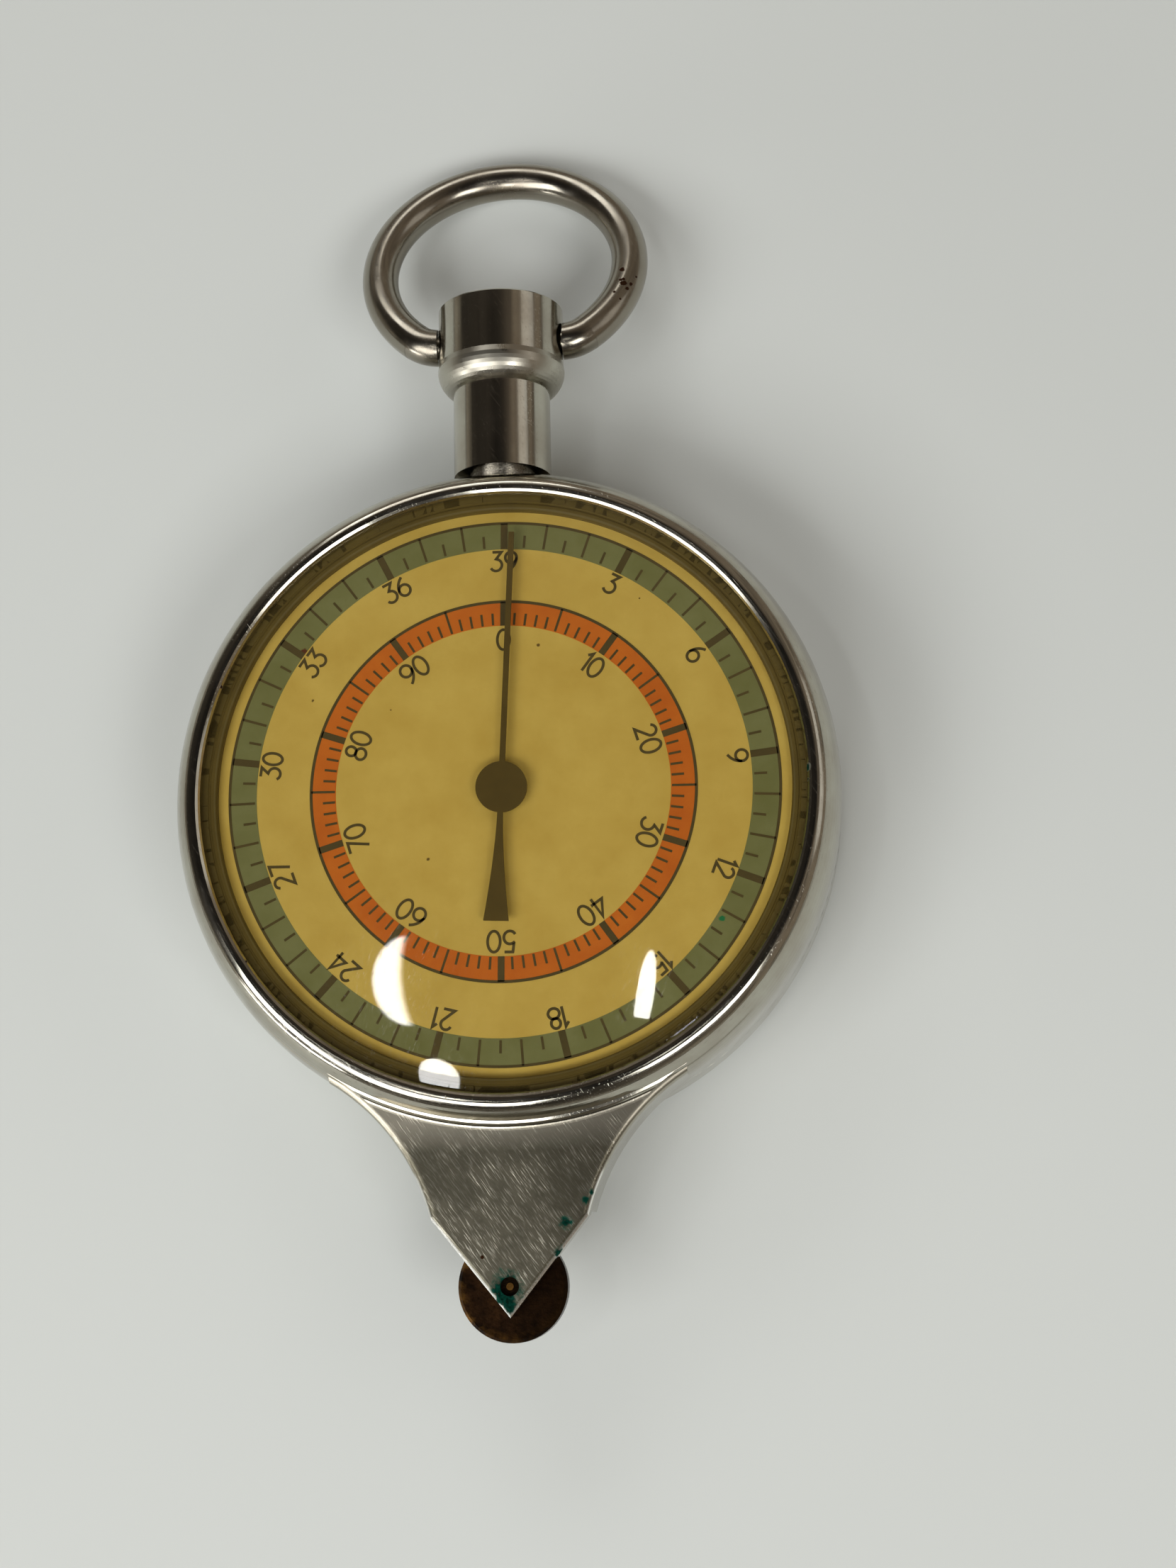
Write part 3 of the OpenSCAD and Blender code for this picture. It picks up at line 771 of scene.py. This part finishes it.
def add_stroke(bm, points, closed, half, low, high, place):
    """A flat ribbon with mitred corners, from height low to high, moved by place."""
    count = len(points)
    sides = []
    for i, p in enumerate(points):
        before = points[i - 1] if closed or i else p
        after = points[(i + 1) % count] if closed or i < count - 1 else p
        a = Vector(p) - Vector(before)
        b = Vector(after) - Vector(p)
        a = a.normalized() if a.length else b.normalized()
        b = b.normalized() if b.length else a
        across = Vector((-a.y - b.y, a.x + b.x)).normalized()
        reach = half / max(MITRE_LIMIT, across.dot(Vector((-b.y, b.x))))
        corners = []
        for side, z in ((1, high), (-1, high), (-1, low), (1, low)):
            x = p[0] + side * across.x * reach
            y = p[1] + side * across.y * reach
            corners.append(bm.verts.new(place @ Vector((x, y, z))))
        sides.append(corners)
    for i in range(count if closed else count - 1):
        here, there = sides[i], sides[(i + 1) % count]
        for k in range(4):
            bm.faces.new((here[k], here[(k + 1) % 4], there[(k + 1) % 4], there[k]))
    if not closed:
        bm.faces.new(sides[0][::-1])
        bm.faces.new(sides[-1])


def number_mesh(name, labels, radius, height, stroke, turn, low, high):
    """Numbers evenly round the dial, their tops outwards."""
    shapes = digits()
    bm = bmesh.new()
    size = height - stroke
    for n, label in enumerate(labels):
        width = sum(shapes[c][0] for c in label) + DIGIT_GAP * (len(label) - 1)
        angle = turn - 2 * math.pi * n / len(labels)
        place = Matrix.Rotation(angle, 4, "Z") @ Matrix.Translation((0, radius, 0))
        x = -width / 2
        for c in label:
            for closed, points in shapes[c][1]:
                line = [((x + p[0]) * size, (p[1] - 0.5) * size) for p in points]
                add_stroke(bm, line, closed, stroke / 2, low, high, place)
            x += shapes[c][0] + DIGIT_GAP
    return closed_mesh(bm, name)


# ---------------------------------------------------------------- ticks by Geometry Nodes


def tick_tree():
    """A ring of equal printed ticks. Every so many of them can be left out, for bolder ones."""
    tree = bpy.data.node_groups.new("Printed ticks", "GeometryNodeTree")
    ids = {}
    for name, kind, value in (
        ("Count", "NodeSocketInt", 39),
        ("Left Out Every", "NodeSocketInt", 0),
        ("Inner Radius", "NodeSocketFloat", 0.0169),
        ("Outer Radius", "NodeSocketFloat", 0.0188),
        ("Width", "NodeSocketFloat", 0.00017),
        ("Bottom", "NodeSocketFloat", 0.01),
        ("Thickness", "NodeSocketFloat", 0.00001),
        ("Start", "NodeSocketFloat", 0.0),
        ("Ink", "NodeSocketMaterial", None),
    ):
        socket = tree.interface.new_socket(name, in_out="INPUT", socket_type=kind)
        if value is not None:
            socket.default_value = value
        ids[name] = socket.identifier
    tree.interface.new_socket("Geometry", in_out="OUTPUT", socket_type="NodeSocketGeometry")
    inputs = add(tree, "NodeGroupInput").outputs
    outputs = add(tree, "NodeGroupOutput")

    # Each row is worked out from numbers, inputs and rows above it. A tick is kept where the
    # remainder isn't 0, or where nothing is left out.
    known = {name: inputs[name] for name in ids}
    known["index"] = add(tree, "GeometryNodeInputIndex").outputs[0]
    for name, operation, first, second in (
        ("step", "DIVIDE", 2 * math.pi, "Count"),
        ("round", "MULTIPLY", "index", "step"),
        ("angle", "ADD", "round", "Start"),
        ("sine", "SINE", "angle", 0.0),
        ("cosine", "COSINE", "angle", 0.0),
        ("radii", "ADD", "Inner Radius", "Outer Radius"),
        ("middle", "MULTIPLY", "radii", 0.5),
        ("x", "MULTIPLY", "middle", "sine"),
        ("y", "MULTIPLY", "middle", "cosine"),
        ("half", "MULTIPLY", "Thickness", 0.5),
        ("z", "ADD", "Bottom", "half"),
        ("length", "SUBTRACT", "Outer Radius", "Inner Radius"),
        ("turn", "MULTIPLY", "angle", -1.0),
        ("every", "MAXIMUM", "Left Out Every", 1.0),
        ("remainder", "MODULO", "index", "every"),
        ("wanted", "GREATER_THAN", "remainder", 0.5),
        ("all", "LESS_THAN", "Left Out Every", 0.5),
        ("kept", "MAXIMUM", "wanted", "all"),
    ):
        ends = {0: known.get(first, first), 1: known.get(second, second)}
        known[name] = add(tree, "ShaderNodeMath", ends, operation=operation).outputs[0]
    vectors = {}
    for name, x, y, z in (
        ("spot", "x", "y", "z"),
        ("size", "Width", "length", "Thickness"),
        ("turned", None, None, "turn"),
    ):
        parts = {key: known[part] for key, part in (("X", x), ("Y", y), ("Z", z)) if part}
        vectors[name] = add(tree, "ShaderNodeCombineXYZ", parts).outputs[0]

    points = add(
        tree, "GeometryNodePoints", {"Count": inputs["Count"], "Position": vectors["spot"]}
    ).outputs[0]
    bar = add(tree, "GeometryNodeMeshCube", {"Size": vectors["size"]}).outputs["Mesh"]
    ticks = add(
        tree,
        "GeometryNodeInstanceOnPoints",
        {
            "Points": points,
            "Selection": known["kept"],
            "Instance": bar,
            "Rotation": vectors["turned"],
        },
    ).outputs[0]
    real = add(tree, "GeometryNodeRealizeInstances", {0: ticks}).outputs[0]
    inked = add(
        tree, "GeometryNodeSetMaterial", {"Geometry": real, "Material": inputs["Ink"]}
    ).outputs[0]
    tree.links.new(inked, outputs.inputs[0])
    return tree, ids


def ticks_piece(name, tree, ids, values):
    """A plain mesh of one ring of ticks, riding on the case."""
    obj = bpy.data.objects.new(name, bpy.data.meshes.new(name + "_start"))
    bpy.context.scene.collection.objects.link(obj)
    modifier = obj.modifiers.new("Ticks", "NODES")
    modifier.node_group = tree
    for key, value in values.items():
        modifier[ids[key]] = value
    bpy.context.view_layer.update()
    baked = bpy.data.meshes.new_from_object(
        obj.evaluated_get(bpy.context.evaluated_depsgraph_get())
    )
    baked.name = name
    obj.modifiers.clear()
    obj.data = baked
    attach(obj, "case")
    return obj


# ---------------------------------------------------------------- stage


def add_floor(scene, colour):
    """A plain floor under the back, in matt paint: one even pale tone with no gloss."""
    mesh = bpy.data.meshes.new("floor")
    bm = bmesh.new()
    bmesh.ops.create_circle(bm, cap_ends=True, radius=FLOOR_RADIUS, segments=FLOOR_FACETS)
    bm.to_mesh(mesh)
    bm.free()
    mat, tree, out, _ = new_material("matt floor paint")
    paint = add(tree, "ShaderNodeBsdfPrincipled", {"Base Color": colour, "Roughness": 0.6})
    tree.links.new(paint.outputs[0], out.inputs["Surface"])
    mesh.materials.append(mat)
    floor = bpy.data.objects.new("floor", mesh)
    floor.location.z = FLOOR_Z
    scene.collection.objects.link(floor)


def surround(scene):
    """A dim room: light low down, brown-grey walls, dark to the left and overhead."""
    world = bpy.data.worlds.new("studio")
    scene.world = world
    world.use_nodes = True
    sky = world.node_tree
    sky.nodes.clear()
    way = add(sky, "ShaderNodeTexCoord").outputs["Generated"]
    up = add(sky, "ShaderNodeSeparateXYZ", {0: way}).outputs["Z"]
    ramp = add(sky, "ShaderNodeValToRGB", {0: up})
    bands = ramp.color_ramp.elements
    for at, _ in SKY[1:-1]:
        bands.new(at)
    for band, (at, colour) in zip(bands, SKY):
        band.color = linear(colour)
    drift, things = [
        add(sky, "ShaderNodeTexNoise", {"Vector": way, "Scale": scale, "Detail": detail}).outputs[
            "Fac"
        ]
        for scale, detail in ((2.2, 1.0), (6.0, 2.0))
    ]
    facing = add(
        sky, "ShaderNodeVectorMath", {0: way, 1: LIGHT_WALLS}, operation="DOT_PRODUCT"
    ).outputs["Value"]
    panels, sides, walls, raised, dark = [
        add(sky, "ShaderNodeMapRange", {"Value": value, "From Min": low, "From Max": high}).outputs[
            "Result"
        ]
        for value, low, high in (
            (drift, 0.42, 0.56),
            (facing, -0.4, 0.5),
            (up, 0.94, 0.78),
            (up, 0.22, 0.34),
            (things, 0.50, 0.56),
        )
    ]
    shade = layered(
        sky,
        "#3A3633",
        (layered(sky, 0.6, (panels, 1.0)), ramp.outputs[0]),
        (overlap(sky, sides, walls), "#8F8375"),
        (overlap(sky, raised, layered(sky, 0.75, (sides, 0.0))), "#1B1917"),
        (overlap(sky, dark, 0.55), "#2A2623"),
    )
    background = add(sky, "ShaderNodeBackground", {"Color": shade, "Strength": 1.0})
    end = add(sky, "ShaderNodeOutputWorld")
    sky.links.new(background.outputs[0], end.inputs["Surface"])


def add_lamp(scene, name, azimuth, height, away, size, strength, lie=(0, 0, 1)):
    """An oblong lamp that faces the dial. Its angles are in degrees, and its length lies in lie."""
    lamp = bpy.data.lights.new(name, "AREA")
    lamp.shape = "RECTANGLE"
    lamp.size, lamp.size_y = size
    lamp.energy = strength * size[0] * size[1] * math.pi
    obj = bpy.data.objects.new(name, lamp)
    flat = math.radians(azimuth)
    up = math.radians(height)
    way = Vector((math.cos(flat) * math.cos(up), math.sin(flat) * math.cos(up), math.sin(up)))
    side = Vector(lie).cross(way).normalized()
    turn = Matrix((side, way.cross(side), way)).transposed().to_4x4()
    obj.matrix_world = Matrix.Translation(Vector((0, 0, AIM_Z * MM)) + away * way) @ turn
    scene.collection.objects.link(obj)
    return lamp


def shape_glint(lamp, rims):
    """Lets a lamp shine only where every rim lets it: inside an ellipse, or outside one."""
    lamp.use_nodes = True
    tree = lamp.node_tree
    tree.nodes.clear()
    place = add(tree, "ShaderNodeNewGeometry").outputs["Parametric"]
    parts = []
    for centre, stretch, dark, lit in rims:
        from_centre = add(
            tree, "ShaderNodeVectorMath", {0: place, 1: (*centre, 0)}, operation="SUBTRACT"
        ).outputs[0]
        scaled = add(
            tree, "ShaderNodeVectorMath", {0: from_centre, 1: (*stretch, 0)}, operation="MULTIPLY"
        ).outputs[0]
        away = add(tree, "ShaderNodeVectorMath", {0: scaled}, operation="LENGTH").outputs["Value"]
        parts.append(
            add(
                tree, "ShaderNodeMapRange", {"Value": away, "From Min": dark, "From Max": lit}
            ).outputs["Result"]
        )
    shine = add(
        tree, "ShaderNodeEmission", {"Color": (1, 1, 1, 1), "Strength": overlap(tree, *parts)}
    )
    end = add(tree, "ShaderNodeOutputLight")
    tree.links.new(shine.outputs[0], end.inputs["Surface"])


def add_lamps(scene, key):
    """Soft lamps, outside what the dome mirrors, and three small ones that it shows."""
    for name, azimuth, height, away, size, strength in SOFT_LAMPS:
        add_lamp(scene, name, azimuth, height, away, size, strength * key)
    for name, azimuth, height, size, lie, rims in GLINTS:
        lamp = add_lamp(scene, name, azimuth, height, GLINT_AWAY, size, GLINT_STRENGTH, lie)
        shape_glint(lamp, rims)


def add_camera(scene):
    """The camera that took the photograph."""
    turn = Vector(CAMERA_TURN)
    look = Matrix.Rotation(turn.length, 4, turn.normalized()).transposed()
    data = bpy.data.cameras.new("camera")
    data.sensor_fit = "HORIZONTAL"
    data.sensor_width = SENSOR_WIDTH
    data.lens = FOCAL_PIXELS / PHOTO_WIDTH * SENSOR_WIDTH
    data.clip_start = 0.01
    camera = bpy.data.objects.new("camera", data)
    camera.matrix_world = Matrix.Translation(CAMERA_PLACE) @ look
    scene.collection.objects.link(camera)
    scene.camera = camera


# ---------------------------------------------------------------- operators


class MEASURER_OT_plate(bpy.types.Operator):
    """Nickel-plated case, bezel, nose, stem and bow"""

    bl_idname = "measurer.plate"
    bl_label = "Plated case"

    def execute(self, context):
        props = context.scene.measurer_plate
        for node, looks in PLATED:
            dress([node], plated_material(node + " nickel plate", props, **looks))
        return {"FINISHED"}


class MEASURER_OT_dial(bpy.types.Operator):
    """Dial with its printed bands, ticks and numbers"""

    bl_idname = "measurer.dial"
    bl_label = "Printed dial"

    def execute(self, context):
        props = context.scene.measurer_dial
        ground = print_material("cream dial enamel", tuple(props.paper), "#CBB468", DIAL_SPECKS)
        dress(["dial"], ground)
        ink = print_material("brown printing ink", tuple(props.ink), "#574F3A")
        mats = {
            "outer_band": print_material(
                "grey-green printing ink", tuple(props.green), "#6F7858", GREEN_SPECKS
            ),
            "inner_band": print_material(
                "orange printing ink", tuple(props.orange), "#C66724"
            ),
        }
        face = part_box("dial")[1][2]
        for name, inner, outer, layer in BAND_RINGS:
            low = face / MM + layer * FILM
            high = low + FILM
            mesh = lathe(
                name, [(inner, low), (outer, low), (outer, high), (inner, high)], RING_FACETS
            )
            new_piece("dial_" + name, mesh, mats.get(name, ink), "case")
        top = face + FILM * MM
        tree, ids = tick_tree()
        for name, count, left_out, inner, outer, width, shift in TICK_RINGS:
            values = {
                "Count": count,
                "Left Out Every": left_out,
                "Inner Radius": inner * MM,
                "Outer Radius": outer * MM,
                "Width": width * MM,
                "Bottom": top,
                "Thickness": FILM * MM,
                "Start": shift * 2 * math.pi / count - props.turn,
                "Ink": ink,
            }
            ticks_piece("ticks_" + name, tree, ids, values)
        for scale, last, height in (
            ("outer", OUTER_DIVISIONS, props.outer_height),
            ("inner", INNER_DIVISIONS, props.inner_height),
        ):
            every = NUMBERED_EVERY[scale]
            labels = [str(n) for n in range(0, last, every)]
            if scale == "outer":
                # the outer scale shows a whole turn at its start, and the inner one shows 0
                labels[0] = str(last)
            name = "numbers_" + scale
            radius = NUMBERS_R[scale] * MM
            mesh = number_mesh(name, labels, radius, height, props.stroke, props.turn, face, top)
            new_piece(name, mesh, ink, "case")
        return {"FINISHED"}


class MEASURER_OT_hand(bpy.types.Operator):
    """Lacquered hand and its collet"""

    bl_idname = "measurer.hand"
    bl_label = "Hand"

    def execute(self, context):
        lacquer = print_material("brown hand lacquer", "#5A4E2B", "#4B4023")
        dress(["hand", "hand_collet"], lacquer)
        return {"FINISHED"}


class MEASURER_OT_crystal(bpy.types.Operator):
    """Domed crystal and the ring under it"""

    bl_idname = "measurer.crystal"
    bl_label = "Crystal"

    def execute(self, context):
        fibre = print_material("olive-brown fibre", "#62572F", "#544A29")
        mesh = lathe("crystal_seat", SEAT_PROFILE, RING_FACETS)
        ring = new_piece("crystal_seat", mesh, fibre, "case")
        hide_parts("crystal_ring")
        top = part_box("crystal")[1][2] / MM
        rise = top - DOME_RIM_Z
        ball = (CRYSTAL_WALL_R**2 + rise**2) / (2 * rise)
        profile = [
            (CRYSTAL_BORE_R, FLANGE_LOW),
            (FLANGE_R, FLANGE_LOW),
            (FLANGE_R, FLANGE_HIGH),
            (CRYSTAL_WALL_R, FLANGE_HIGH),
            *ball_arc(ball, top - ball, CRYSTAL_WALL_R, 0),
            *ball_arc(ball - CRYSTAL_THICKNESS, top - ball, 0, CRYSTAL_BORE_R),
        ]
        mesh = lathe("crystal_dome", profile, DOME_FACETS)
        acrylic = crystal_material(tuple(context.scene.measurer_dial.tint))
        dome = new_piece("crystal_dome", mesh, acrylic, "case")
        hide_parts("crystal")
        return {"FINISHED"}


class MEASURER_OT_wheel(bpy.types.Operator):
    """Tracing wheel with its brown patina"""

    bl_idname = "measurer.wheel"
    bl_label = "Tracing wheel"

    def execute(self, context):
        dress(["tracing_wheel"], wheel_material())
        return {"FINISHED"}


class MEASURER_OT_movement(bpy.types.Operator):
    """Brass and steel pieces of the movement and its fastenings"""

    bl_idname = "measurer.movement"
    bl_label = "Movement"

    def execute(self, context):
        dress(BRASS_NODES, cut_metal("cut brass", "#A5823F", "#C9A95E", 0.25))
        dress(STEEL_NODES, cut_metal("turned steel", "#8F8B84", "#B4B0AA", 0.22))
        dress(["nose_bush"], cut_metal("blackened brass", "#0E0B07", "#261B10", 0.5, 0.4))
        dress(["wheel_arbor"], cut_metal("tarnished brass", "#4E3718", "#76562A", 0.5, 0.4))
        dress(["centre_arbor"], print_material("brown arbor lacquer", "#5A4E2B", "#4B4023"))
        return {"FINISHED"}


class MEASURER_OT_stage(bpy.types.Operator):
    """Floor, lamps, surroundings and camera"""

    bl_idname = "measurer.stage"
    bl_label = "Stage"

    def execute(self, context):
        scene = context.scene
        props = scene.measurer_stage
        add_floor(scene, tuple(props.floor))
        surround(scene)
        add_lamps(scene, props.key)
        add_camera(scene)
        scene.view_settings.view_transform = "Standard"
        return {"FINISHED"}


class MEASURER_PT_panel(bpy.types.Panel):
    """Lists the pieces"""

    bl_label = "Map measurer"
    bl_idname = "MEASURER_PT_panel"
    bl_space_type = "VIEW_3D"
    bl_region_type = "UI"
    bl_category = "Map measurer"

    def draw(self, context):
        for group, _ in GROUPS:
            box = self.layout.box()
            props = getattr(context.scene, group)
            for name in props.__annotations__:
                box.prop(props, name)
        for operator in OPERATORS:
            self.layout.operator(operator.bl_idname)


GROUPS = (
    ("measurer_plate", PlateFinish),
    ("measurer_dial", DialPrint),
    ("measurer_stage", StageLook),
)
OPERATORS = (
    MEASURER_OT_plate,
    MEASURER_OT_dial,
    MEASURER_OT_hand,
    MEASURER_OT_crystal,
    MEASURER_OT_wheel,
    MEASURER_OT_movement,
    MEASURER_OT_stage,
)


def register():
    for name, group in GROUPS:
        bpy.utils.register_class(group)
        setattr(bpy.types.Scene, name, bpy.props.PointerProperty(type=group))
    for item in OPERATORS + (MEASURER_PT_panel,):
        bpy.utils.register_class(item)


def unregister():
    for item in reversed(OPERATORS + (MEASURER_PT_panel,)):
        bpy.utils.unregister_class(item)
    for name, group in reversed(GROUPS):
        delattr(bpy.types.Scene, name)
        bpy.utils.unregister_class(group)


def main():
    register()
    bpy.ops.measurer.plate()
    bpy.ops.measurer.dial()
    bpy.ops.measurer.hand()
    bpy.ops.measurer.crystal()
    bpy.ops.measurer.wheel()
    bpy.ops.measurer.movement()
    bpy.ops.measurer.stage()


if __name__ == "__main__":
    main()
